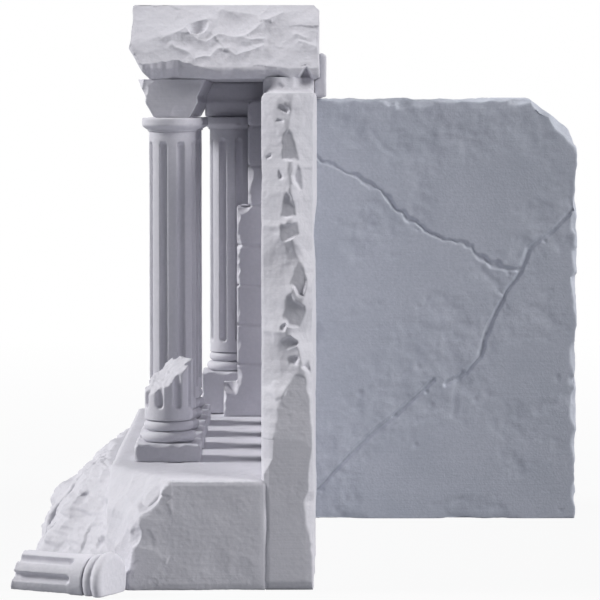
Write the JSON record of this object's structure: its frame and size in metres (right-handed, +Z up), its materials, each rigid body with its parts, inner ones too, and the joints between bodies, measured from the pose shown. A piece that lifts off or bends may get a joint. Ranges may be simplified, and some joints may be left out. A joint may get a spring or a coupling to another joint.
{
  "type": "miniature terrain ruin",
  "caption": "Tabletop terrain ruin: a broken portico of fluted columns on a rock podium, with a rough back wall, a heavy roof block and a cracked side slab.",
  "frame": {"origin": "on the ground, at the middle of the podium's underside: under the centre line of the front columns, halfway along the podium", "axes": "+Y along the ruin from its broken near end to its far end, +X from the front columns to the back wall and the side slab, +Z up"},
  "size_m": [0.1866, 0.2393, 0.1797],
  "materials": {
    "printed_stone": "matt light grey printed plastic with fine layer lines and stone relief"
  },
  "bodies": {
    "root": {"back_cornice": "printed_stone", "back_wall": "printed_stone", "cross_beam": "printed_stone", "cross_wall": "printed_stone", "fallen_column_base": "printed_stone", "fallen_column_shaft": "printed_stone", "far_column_base": "printed_stone", "far_column_capital": "printed_stone", "far_column_shaft": "printed_stone", "far_pedestal": "printed_stone", "front_beam": "printed_stone", "front_column_1_base": "printed_stone", "front_column_1_broken_shaft": "printed_stone", "front_column_1_plinth": "printed_stone", "front_column_2_base": "printed_stone", "front_column_2_capital": "printed_stone", "front_column_2_plinth": "printed_stone", "front_column_2_shaft": "printed_stone", "front_column_3_base": "printed_stone", "front_column_3_capital": "printed_stone", "front_column_3_plinth": "printed_stone", "front_column_3_shaft": "printed_stone", "front_column_4_base": "printed_stone", "front_column_4_capital": "printed_stone", "front_column_4_plinth": "printed_stone", "front_column_4_shaft": "printed_stone", "front_rubble_far": "printed_stone", "front_rubble_near": "printed_stone", "podium": "printed_stone", "roof_slab": "printed_stone", "side_slab": "printed_stone"}
  },
  "joints": []
}
